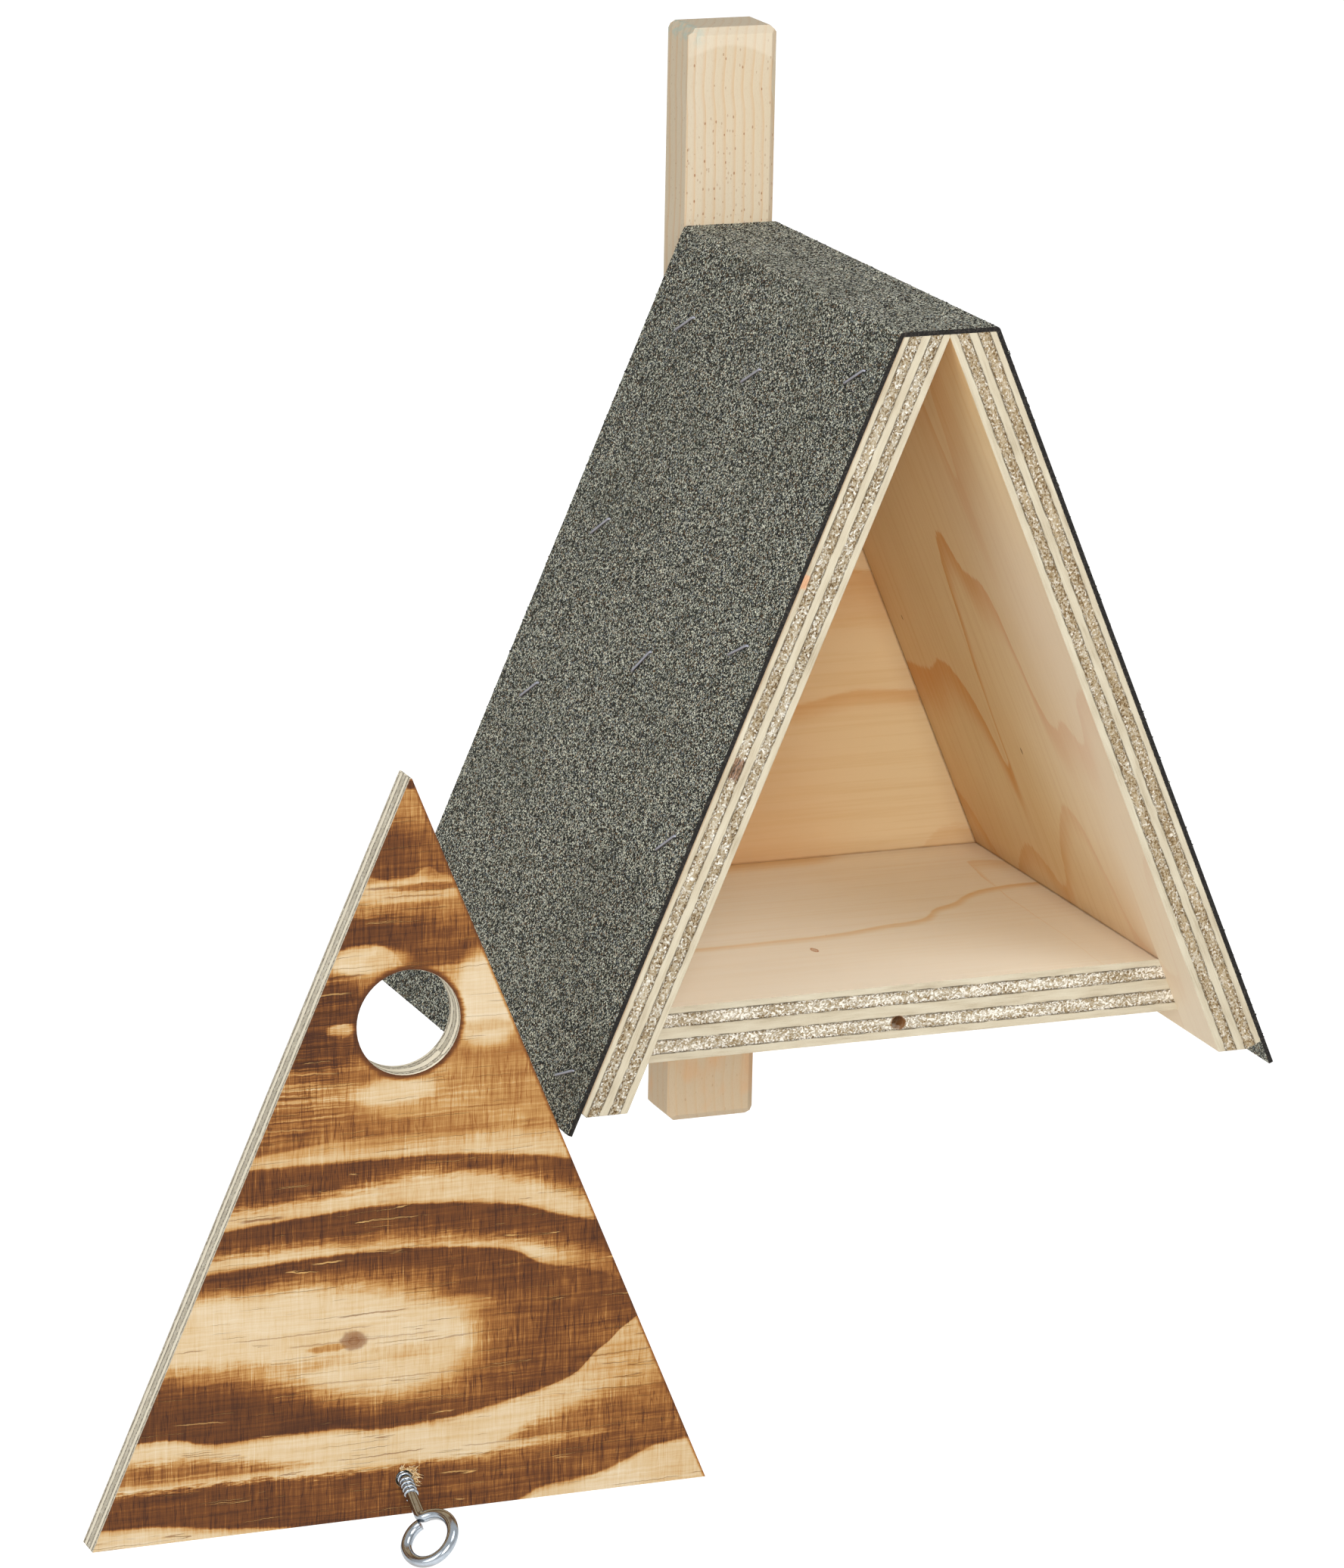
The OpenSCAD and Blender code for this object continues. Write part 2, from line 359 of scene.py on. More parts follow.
def sawnPlies(f, through, axes, grain, cross, sizes):
    # colour and height of a plywood edge; through, grain and cross are distances along those axes
    seed = sizes["seed"]
    wave = f.flow(grain * 0.012, cross * 0.012, seed, 2) - 0.5
    fine = f.flow(grain * 0.25, cross * 0.25, seed + 4, 2) - 0.5
    depth = through + wave * 0.9 + fine * 0.45
    edges = [sizes["thickness"] * p for p in sizes["plies"]]
    turned = (depth > edges[0]) * (depth < edges[1]) + (depth > edges[2]) * (depth < edges[3])
    endOn = abs(f.dot(f.facing, axes[0])) > abs(f.dot(f.facing, axes[1]))
    rough = turned + endOn - turned * endOn * 2

    crumb = f.cells(f.join(grain, cross, through), 1.6)
    shade = f.split(crumb.other("Color"))[0]
    torn = f.flow(grain * 1.25, cross * 1.25, through * 2.2, 4, 0.75)
    patch = f.flow(grain * 0.06, cross * 0.06, through * 0.35 + seed, 2)
    calm = f.ease(patch, 0.5, 0.62) * 0.6
    endTone = (shade - 0.5) * (0.85 - calm * 0.5) + (torn - 0.5) * (2.6 - calm) + (patch - 0.5) * 0.75
    endTone = f.clamp(endTone + 0.58 + sizes.get("lift", 0.0))
    endColour = f.ramp(endTone, endStops)
    endColour = f.over(endColour, sizes.get("sawnWarmth", 0.1), 208, 170, 112)
    fibres = f.flow(grain * 0.09, cross * 0.09, through * 2.6, 4, 0.65)
    longTone = f.clamp(fibres * 0.9 + (patch - 0.5) * 1.2 + (torn - 0.5) * 0.35 + 0.05)
    longColour = f.ramp(longTone, longStops)
    colour = f.mix(rough, longColour, endColour)
    # painted light: the front panel's sawn edges are painted paler and brighter, in place of more light on
    # them
    if "paintedEdgeLight" in sizes:
        colour = f.mix(sizes["paintedEdgeLight"][1], colour, sizes["paintedEdgeLight"][0])
    # a darker brown band on the sawn edge's outermost ply, next to the felt
    if "underFeltTone" in sizes:
        colour = f.mix(f.ease(depth, 0.8, 0.1) * (1 - endOn) * 0.6, colour, sizes["underFeltTone"])
    for spot in sizes.get("edgeSpots", []):
        # a knot or a stain cut through by the saw, which fills one ply at the front
        low, high = [-1.0, *edges, sizes["thickness"]][spot["ply"] : spot["ply"] + 2]
        near = abs(grain + spot["at"]) + (torn - 0.5) * 4
        inside = (depth > low) * (depth < high) * (abs(cross) < 4)
        streak = f.flow(grain * 0.3, cross * 0.6, through * 2.4 + seed, 3, 0.7)
        tint = f.mix(f.ease(streak, 0.45, 0.53), spot["dark"], spot["colour"])
        colour = f.mix(f.ease(near, spot["half"], spot["half"] * 0.7) * inside * 0.85, colour, tint)

    gap = None
    for edge in edges:
        near = abs(depth - edge)
        gap = near if gap is None else f.smaller(gap, near)
    broken = f.flow(grain * 0.16, cross * 0.16, through * 0.7 + seed, 4, 0.7)
    seam = f.ease(gap, 0.3, 0.06) * f.ease(broken, 0.4, 0.58)
    pits = f.ease(gap, 1.1, 0.15) * rough * f.ease(torn, 0.54, 0.42)
    colour = f.over(colour, pits * 0.8, 92, 68, 46)
    colour = f.over(colour, seam * 0.7, 112, 98, 76)
    height = rough * (endTone * 0.9 - 0.35) + fibres * 0.15 - seam * 0.8
    return colour, height


def growthRing(runs, fade, depth, first, last, between, stray=4, jag=5):
    # a ring with one crisp edge, which runs along or across the grain from height first to height last
    edge = (first, last, between)
    return {"runs": runs, "fade": fade, "depth": depth, "edge": edge, "stray": stray, "jag": jag}


def veneerFace(f, grain, cross, side, sizes):
    # a peeled softwood face: broad rings with one crisp edge that fade to the other side
    seed = sizes["seed"] + (20 if side == "inner" else 0)
    tones = sizes["tones"]
    wobble = f.flow(grain * 0.02, cross * 0.02, seed, 3) - 0.5
    streak = f.flow(grain * 0.012, cross * 0.45, seed + 6, 4, 0.6)
    cloud = f.flow(grain * 0.014, cross * 0.02, seed + 8, 2)
    pore = f.flow(grain * 0.35, cross * 4.0, seed + 11, 3, 0.6)
    jag = f.flow(grain * 0.12, cross * 0.9, seed + 3, 3, 0.7) - 0.5
    base = f.mix(f.clamp(cloud * 1.4 - 0.2), tones[0], tones[1])
    base = f.mix(f.clamp((streak - 0.46) * 1.7), base, tones[2])
    band = streak * 0
    for ring in sizes[side + "Rings"]:
        start, other = (grain, cross) if ring["runs"] == "along" else (cross, grain)
        edge = f.line(start + wobble * ring["stray"], ring["edge"], -300, 300, 300)
        below = edge - other + jag * ring["jag"] + wobble * 3
        one = f.ease(below, -0.4, 1.4) * f.ease(below, ring["fade"], 1.0)
        band = f.larger(band, one * ring["depth"])
    colour = f.mix(f.clamp(band * (streak * 0.8 + 0.7)), base, tones[3])
    if "pale" in sizes:
        # painted light: greyer and paler towards the open front, where more light falls into the box
        first, last, strength = sizes["pale"]
        paling = f.ease(cross + wobble * 30, first, last) * strength
        if "belowApex" in sizes:
            # the painted light fades out near the apex
            paling = paling * f.ease(grain * -1, *sizes["belowApex"])
        colour = f.mix(paling, colour, sizes["paleTone"])
    colour = f.mix(f.ease(pore, 0.62, 0.8) * 0.26, colour, tones[2])
    speck = f.cells(f.join(grain * 0.35, cross * 0.8, seed), 0.085)
    chosen = f.split(speck.other("Color"))[0] > 0.55
    colour = f.over(colour, (speck < 0.055) * chosen * 0.75, 112, 74, 48)
    height = pore * 0.5 + streak * 0.35 - band * 0.2
    return colour, height


def knotsAndHoleShadeOn(f, colour, sizes):
    # a small dark knot or pin mark at each given place, or the painted shade inside a hole
    for spot in sizes.get("knotsAndHoleShade", []):
        directions = zip((rightward, inward, upward), spot["half"])
        away = f.join(*[f.along(spot["place"], axis) / half for axis, half in directions])
        size = f.add("ShaderNodeVectorMath", {0: away}, "Value", operation="LENGTH")
        reach = size + (f.noise(f.place, 0.4, 3) - 0.5) * 0.7
        rim = f.ease(abs(reach - 0.85), 0.22, 0.0)
        ring = f.calc("FRACT", reach * 2.5)
        depth = f.ease(reach, 1.2, spot.get("soft", 0.8)) * (ring * 0.15 + spot.get("depth", 0.5))
        depth = depth + rim * spot.get("rim", 0.35)
        colour = f.mix(f.clamp(depth), colour, spot["colour"])
    return colour


def seamsAndShadeOn(f, colour, sizes):
    # the dark joint lines against the neighbouring pieces, with painted shade and a painted warm bounce of
    # light near them inside the box, and warmer orange bands where given
    within = f.ease(f.along((0, floorLow.y, 0), inward), -0.3, 0.3)
    for place, axis in sizes.get("seams", []):
        away = abs(f.along(place, axis)) + (f.noise(f.place, 0.12, 2) - 0.5) * 0.7
        colour = f.over(colour, f.ease(away, 0.8, 0.1) * within * 0.5, 92, 64, 42)
        # painted shade: darker brown within 8 mm of each joint
        colour = f.over(colour, f.ease(away, 8.0, 0.0) * within * 0.14, 150, 104, 62)
        # painted shade and painted warm bounce light: orange within 46 mm of each joint, as strong as
        # corner
        colour = f.over(colour, f.ease(away, 46.0, 0.0) * sizes.get("corner", 0.12) * within, 200, 138, 76)
    # warmer, darker orange near a given line, fading out over the given reach
    for place, axis, reach, strength in sizes.get("warm", []):
        colour = f.over(colour, f.ease(abs(f.along(place, axis)), reach, 0.0) * strength, 192, 124, 58)
    return colour


def plywood(name, sizes, ownFace=None):
    # start is a point of the face that out points away from, and depths count from that face
    f = Finish(name)
    through = f.along(sizes["start"], sizes["out"]) * -1
    grain = f.along(sizes["start"], sizes["grain"])
    cross = f.along(sizes["start"], sizes["cross"])
    axes = (sizes["grain"], sizes["cross"])
    edgeColour, edgeHeight = sawnPlies(f, through, axes, grain, cross, sizes)
    if ownFace:
        outer, outerHeight = ownFace(f, grain, cross)
    else:
        outer, outerHeight = veneerFace(f, grain, cross, "outer", sizes)
        outer = seamsAndShadeOn(f, outer, sizes)
    inner, innerHeight = veneerFace(f, grain, cross, "inner", sizes)
    relief, gloss = sizes.get("relief", 0.05), sizes.get("outerGloss", 0.25)
    outside = f.skin(knotsAndHoleShadeOn(f, outer, sizes), 0.62, f.bump(outerHeight, relief), gloss=gloss)
    inner = knotsAndHoleShadeOn(f, seamsAndShadeOn(f, inner, sizes), sizes)
    inside = f.skin(inner, 0.62, f.bump(innerHeight, 0.05), gloss=0.25)
    sawn = f.skin(knotsAndHoleShadeOn(f, edgeColour, sizes), 0.85, f.bump(edgeHeight, 0.5), gloss=0.15)
    back = through > sizes["thickness"] / 2
    face = abs(f.dot(f.facing, sizes["out"])) > 0.8
    return f.close(f.choose(face, sawn, f.choose(back, outside, inside)))


def dress(node, material):
    cadNodes[node].material_slots[0].material = material


# tones of the wood: base, its cloudy part, streaks, ring edges
honeyTones = [paint(232, 210, 168), paint(224, 196, 148), paint(212, 176, 122), paint(210, 152, 88)]
floorTones = [paint(254, 247, 229), paint(252, 240, 214), paint(241, 223, 187), paint(234, 192, 122)]
backTones = [paint(235, 217, 177), paint(229, 206, 160), paint(216, 186, 134), paint(206, 154, 90)]

rightBoard = {
    "start": apex + outRight * 0.015,
    "out": outRight,
    "grain": -downRight,
    "cross": inward,
    "thickness": 15,
    "plies": [0.145, 0.395, 0.59, 0.83],
    "seed": 3.0,
    "tones": honeyTones,
    "pale": (95, 5, 0.68),
    "belowApex": (15, 115),
    "paleTone": paint(230, 216, 196),
    "seams": [(backFace, inward), (floorTop, upward), (apex, rightward)],
    "corner": 0.2,
    "sawnWarmth": 0.18,
    "innerRings": [
        growthRing("across", 26, 0.75, -150, -170, [
            (0, -128), (10, -134), (20, -154), (33, -149), (42, -154), (50, -146), (60, -106), (75, -103),
            (85, -91), (92, -101), (97, -126), (102, -156), (104, -188), (112, -171), (120, -159),
            (133, -153), (150, -161), (172, -164),
        ], stray=2),
        growthRing("across", 16, 0.45, -200, -220, [
            (0, -190), (8, -202), (12, -240), (30, -236), (40, -230), (45, -215), (60, -189), (70, -196),
            (82, -211), (95, -231), (103, -226), (115, -221), (125, -226), (145, -240), (172, -215),
        ], stray=2),
        growthRing("across", 60, 0.4, 20, 30, [
            (0, 12), (30, -8), (40, -30), (46, -62), (52, -20), (90, 20),
        ], jag=12),
    ],
    "outerRings": [growthRing("across", 40, 0.5, -120, -100, [(60, -90), (120, -140)])],
}
leftBoard = dict(
    rightBoard,
    start=apex + outLeft * 0.015,
    out=outLeft,
    grain=-downLeft,
    seed=8.0,
    sawnWarmth=0.03,
    lift=0.04,
    underFeltTone=paint(146, 108, 72),
    innerRings=[
        growthRing("across", 34, 0.6, -60, -80, [
            (0, -70), (30, -95), (60, -60), (90, -78), (120, -120), (170, -100),
        ]),
        growthRing("across", 22, 0.5, -180, -160, [
            (0, -190), (40, -150), (80, -175), (110, -200), (150, -170),
        ]),
    ],
    edgeSpots=[
        {"at": 151, "half": 4.2, "ply": 1, "colour": paint(178, 134, 104), "dark": paint(66, 38, 28)},
        {"at": 88, "half": 2.6, "ply": 0, "colour": paint(220, 170, 132), "dark": paint(206, 150, 110)},
    ],
)
dress("right_roof_board", plywood("right_board_plywood", rightBoard))
dress("left_roof_board", plywood("left_board_plywood", leftBoard))

floorBoard = {
    "start": Vector((0, floorLow.y, floorHigh.z)),
    "out": upward,
    "grain": rightward,
    "cross": inward,
    "thickness": 18,
    "plies": [0.13, 0.37, 0.6, 0.85],
    "seed": 14.0,
    "lift": 0.24,
    "tones": floorTones,
    "pale": (110, 10, 0.55),
    "corner": 0.05,
    "paleTone": paint(254, 244, 226),
    "seams": [(backFace, inward), (apex, outRight), (apex, outLeft)],
    "outerRings": [
        growthRing("along", 7, 0.7, 60, 100, [
            (-90, 59), (-50, 59), (-20, 60), (5, 61), (20, 64), (38, 68), (43, 73), (46, 77), (55, 82),
            (65, 91), (78, 96), (95, 97),
        ], stray=0, jag=2),
        growthRing("along", 16, 0.7, 150, 175, [(-20, 149), (10, 150), (30, 151), (60, 170)]),
        growthRing("along", 18, 0.4, -60, -50, [(70, -40), (80, 128), (88, 127), (95, 122), (110, -40)]),
    ],
    "innerRings": [growthRing("along", 24, 0.6, 40, 50, [(-60, 52), (0, 70), (60, 58)])],
    "knotsAndHoleShade": [
        {
            # the open pilot hole that the screw eye winds into, painted darker as shade inside the bore
            "place": Vector((0, floorLow.y, floorLow.z + 0.0052)),
            "half": (2.7, 34, 2.4),
            "colour": paint(146, 102, 62),
            "depth": 0.65,
        },
        {
            "place": Vector((-0.011, floorLow.y + 0.045, floorHigh.z)),
            "half": (1.1, 2.6, 2),
            "colour": paint(186, 122, 64),
        },
    ],
}
dress("floor", plywood("floor_plywood", floorBoard))

backBoard = {
    "start": backFace,
    "out": -inward,
    "grain": rightward,
    "cross": upward,
    "thickness": 10,
    "plies": [0.15, 0.38, 0.62, 0.85],
    "seed": 31.0,
    "tones": backTones,
    "warm": [(apex, rightward, 85, 0.45)],
    "seams": [(floorTop, upward), (apex, outRight), (apex, outLeft)],
    "outerRings": [
        growthRing("along", 9, 0.55, 84, 90, [(-20, 82), (25, 81), (45, 84), (70, 83)], stray=1, jag=2),
        growthRing("along", 30, 0.6, 130, 118, [(0, 126), (40, 128), (80, 120)]),
        growthRing("along", 24, 0.5, 180, 180, [(0, 186), (80, 178)]),
        growthRing("along", 22, 0.24, -50, 0, [(62, -10), (74, 27), (84, 33), (120, 10)], jag=8),
    ],
    "innerRings": [
        growthRing("along", 26, 0.6, 60, 60, [(-80, 74), (-20, 96), (30, 90), (90, 70)]),
        growthRing("along", 20, 0.5, 120, 120, [(-40, 140), (0, 152), (50, 138)]),
    ],
}
dress("back_panel", plywood("back_plywood", backBoard))
print("boards finished")


# the scorched front panel

scorchStops = [
    (0.0, 214, 196, 166), (0.14, 202, 175, 134), (0.3, 184, 140, 84), (0.48, 151, 100, 52),
    (0.7, 110, 67, 36), (1.0, 70, 43, 30),
]

# lines that the scorch follows: height at the far left, at the far right, and points between, as
# (across from the middle, up from the foot)
scorchLines = {
    "tipPale": (234, 234, []),
    "tipFull": (221, 220, []),
    "collar": (211, 207, [(-14, 210.5), (-6, 208.5), (1, 209.5), (6, 212), (10, 209.5)]),
    "browPale": (200, 198, [(-20, 199), (0, 200), (20, 199)]),
    "browFull": (196, 189, [(-20, 195), (0, 193), (20, 189)]),
    "brow": (187.5, 182, [
        (-25, 187.5), (-13, 188.6), (-8, 187.2), (-4, 184.5), (-1.5, 181), (3, 180.2), (20, 180.5),
    ]),
    "midPale": (140, 141, [(-40, 142), (-18, 139), (-6, 136), (6, 138), (20, 141)]),
    "midFull": (134, 132, [(-30, 133), (-5, 129), (20, 131)]),
    "midFoot": (123, 120, [(-50, 123.5), (-20, 126), (0, 126), (30, 125), (50, 123)]),
    "first": (119.6, 103, [(-52, 119.4), (-20, 119), (20, 117.8), (40, 115.3), (55, 112.4)]),
    "firstFull": (110, 95, [(-55, 110), (-28, 112), (-5, 115.5), (20, 115.5), (42, 111), (58, 107)]),
    "firstPale": (104.5, 84, [
        (-58, 105.5), (-32, 106), (-14, 108), (4, 109.5), (24, 108.5), (42, 103), (56, 97),
    ]),
    "second": (99, 80, [
        (-62, 100.6), (-45, 101.8), (-30, 102.8), (-15, 103.6), (0, 103.2), (20, 101.5), (40, 98.2),
        (50, 95), (62, 91.5),
    ]),
    "secondFull": (94, 70, [(-64, 95), (-30, 97), (0, 97.5), (22, 95), (42, 90.5), (60, 85)]),
    "secondPale": (89, 64, [(-66, 90), (-30, 89.5), (0, 88), (22, 86), (38, 84.5), (52, 80), (70, 75)]),
    "third": (86, 60, [
        (-68, 87), (-40, 88.2), (-10, 88.9), (10, 88.3), (25, 86.4), (38, 83.2), (42, 80.4), (46, 78.6),
        (60, 75.4), (72, 71.6),
    ]),
    "thirdFull": (84, 60, [(-70, 86), (-40, 86), (-10, 86), (10, 84), (25, 83), (42, 90), (60, 90)]),
    "thirdPale": (74, -90, [
        (-70, 75), (-40, 76), (-20, 74), (-2, 70), (9, 65), (17, 58), (23, 47), (29, 27), (38, 0),
        (52, -40),
    ]),
    "lapPale": (63, 140, [
        (-90, 62), (-66, 60), (-50, 58.5), (-38, 54), (-26, 49), (-12, 46), (0, 46), (10, 49.5), (20, 57),
        (34, 76), (50, 96),
    ]),
    "lapFull": (48, 70, [
        (-90, 47), (-66, 45), (-48, 42), (-34, 36), (-18, 32.5), (0, 32), (14, 33), (24, 35), (38, 39),
        (55, 47),
    ]),
    "lap": (35, 62, [
        (-90, 34), (-74, 33.4), (-67, 31.4), (-50, 31), (-35, 31.2), (-20, 30.9), (-12, 29.8), (5, 30),
        (20, 31.5), (35, 34), (48, 37), (56, 40), (60, 43), (63, 46.5), (68, 50), (74, 55), (80, 58),
    ]),
    "shelfPale": (29, 50, [
        (-95, 29.5), (-60, 27), (-35, 23), (-20, 20), (25, 20), (40, 27), (56, 32), (70, 37), (84, 42),
    ]),
    "shelfFull": (24, 40, [(-95, 25), (-60, 21.5), (-35, 17), (25, 15), (42, 20), (60, 24), (78, 29)]),
    "strip": (20.5, 21, [(-95, 20.5), (-50, 20), (-20, 20.5), (10, 20.5)]),
    "hemPale": (19, 30, [(-95, 19), (-50, 18.6), (-20, 17.6), (5, 18), (30, 19.5), (60, 22), (90, 27)]),
    "hemFull": (15, 24, [(-95, 16), (-50, 16), (-20, 14), (5, 14), (30, 14), (60, 16), (90, 20)]),
    "hem": (8, 18, [
        (-104, 6.4), (-90, 6), (-80, 5.4), (-68, 3.6), (-55, 2), (-40, 0.4), (-25, -2), (30, -2),
        (38, -0.4), (45, 2.8), (58, 4.6), (66, 6), (75, 9), (82, 12), (92, 13.6), (104, 15),
    ]),
}

# each band: name of its pale and full lines, crisp line, how dark at its left and right, the turn
# between, and a line it stops at
scorchBands = [
    ("tip", "collar", 0.8, 0.6, 9),
    ("brow", "brow", 0.86, 0.66, 16),
    ("mid", "midFoot", 0.52, 0.36, 10),
    ("first", "first", 0.74, 0.68, 30),
    ("second", "second", 0.8, 0.75, 30),
    ("third", "third", 0.79, 0.75, 30, "lap"),
    ("lap", "lap", 0.82, 0.7, 30),
    ("shelf", "strip", 0.5, 0.52, 40),
    ("hem", "hem", 0.78, 0.66, 30),
]

# cracks and dashes: from, to, height at each end, half thickness, how dark (below 0 is a pale tear)
scorchCracks = [
    (-54, -41, 103.1, 103.3, 0.55, 0.95),
    (-58, -34, 101.9, 102.6, 0.25, -0.5),
    (-26, -15, 179.6, 179.3, 0.4, 0.9),
    (-31, -21, 176.4, 176.8, 0.45, 0.7),
    (-34, -16, 172.4, 172.0, 0.5, 0.65),
    (-33, -20, 174.4, 174.0, 0.35, -0.6),
    (-38, -27, 150.3, 149.6, 0.45, 0.9),
    (-39, -24, 149.2, 148.4, 0.3, -0.55),
    (-42, -30, 146.2, 145.5, 0.3, -0.6),
    (-43, -30, 141.6, 141.0, 0.35, 0.75),
    (-14, -3, 206.6, 206.2, 0.5, 0.8),
    (-20, 2, 197.0, 196.6, 0.3, 0.7),
    (-22, 0, 68.2, 68.8, 0.25, 0.75),
    (-56, -12, 63.4, 64.4, 0.25, 0.5),
    (-38, 10, 60.0, 60.2, 0.35, 0.45),
    (14, 34, 57.6, 58.2, 0.25, 0.6),
    (-30, -22, 86.4, 86.6, 0.35, -0.9),
    (-50, 60, 47.0, 46.0, 0.22, 0.45),
    (58, 84, 45.6, 46.4, 0.3, 0.6),
    (60, 80, 34.4, 33.2, 0.25, 0.5),
    (-12, 6, 20.6, 21.0, 0.25, 0.7),
    (-16, -5, 17.3, 17.5, 1.1, -0.8),
    (20, 45, 20.8, 20.2, 0.25, 0.5),
    (-85, -62, 21.6, 21.2, 0.25, -0.5),
    (-75, -60, 38.6, 38.0, 0.25, -0.5),
    (-56, -44, 127.6, 127.2, 0.4, 0.8),
    (-48, -36, 136.4, 136.0, 0.4, 0.8),
    (-44, -30, 153.6, 153.0, 0.4, 0.85),
    (-40, -24, 157.6, 157.0, 0.35, 0.8),
    (-36, -22, 168.6, 168.2, 0.4, 0.85),
    (-48, -33, 131.6, 131.0, 0.35, -0.55),
    (-2, 12, 199.2, 198.8, 0.35, 0.7),
    (-8, 10, 203.4, 203.0, 0.3, 0.6),
]

# soft patches: middle, half sizes, level it is drawn to, how strongly
scorchPatches = [
    ((0, 205), (22, 4.5), 0.16, 0.85),
    ((6, 205.8), (11, 1.3), 0.62, 0.7),
    ((-4, 200.5), (14, 1.0), 0.5, 0.6),
    ((-15, 183.6), (13, 5), 0.1, 1.0),
    ((-6, 183), (8, 4), 0.3, 0.5),
    ((-30, 163), (18, 18), 0.84, 0.95),
    ((26, 168), (13, 18), 0.04, 0.97),
    ((24, 159), (14, 2.2), 0.26, 0.6),
    ((22, 147), (18, 5), 0.34, 0.7),
    ((-4, 140.5), (15, 5), 0.06, 0.85),
    ((6, 134), (16, 3), 0.2, 0.5),
    ((-22, 162), (7, 4.6), 0.85, 0.8),
    ((-21.5, 162), (5.8, 2.4), 0.16, 0.95),
    ((0, 239), (1.6, 1.6), 0.95, 0.9),
    ((-48, 53), (26, 2.6), 0.32, 0.6),
    ((-60, 40), (15, 7), 0.92, 0.6),
    ((-8, 54.5), (24, 2.4), 0.24, 0.5),
    ((-34, 67), (28, 2.6), 0.04, 0.5),
    ((16, 68), (15, 3.4), 0.08, 0.45),
    ((-26, 58.4), (7, 1.3), 0.4, 0.6),
    ((46, 62), (15, 11), 0.62, 0.55),
    ((78, 46), (9, 4), 0.3, 0.6),
]


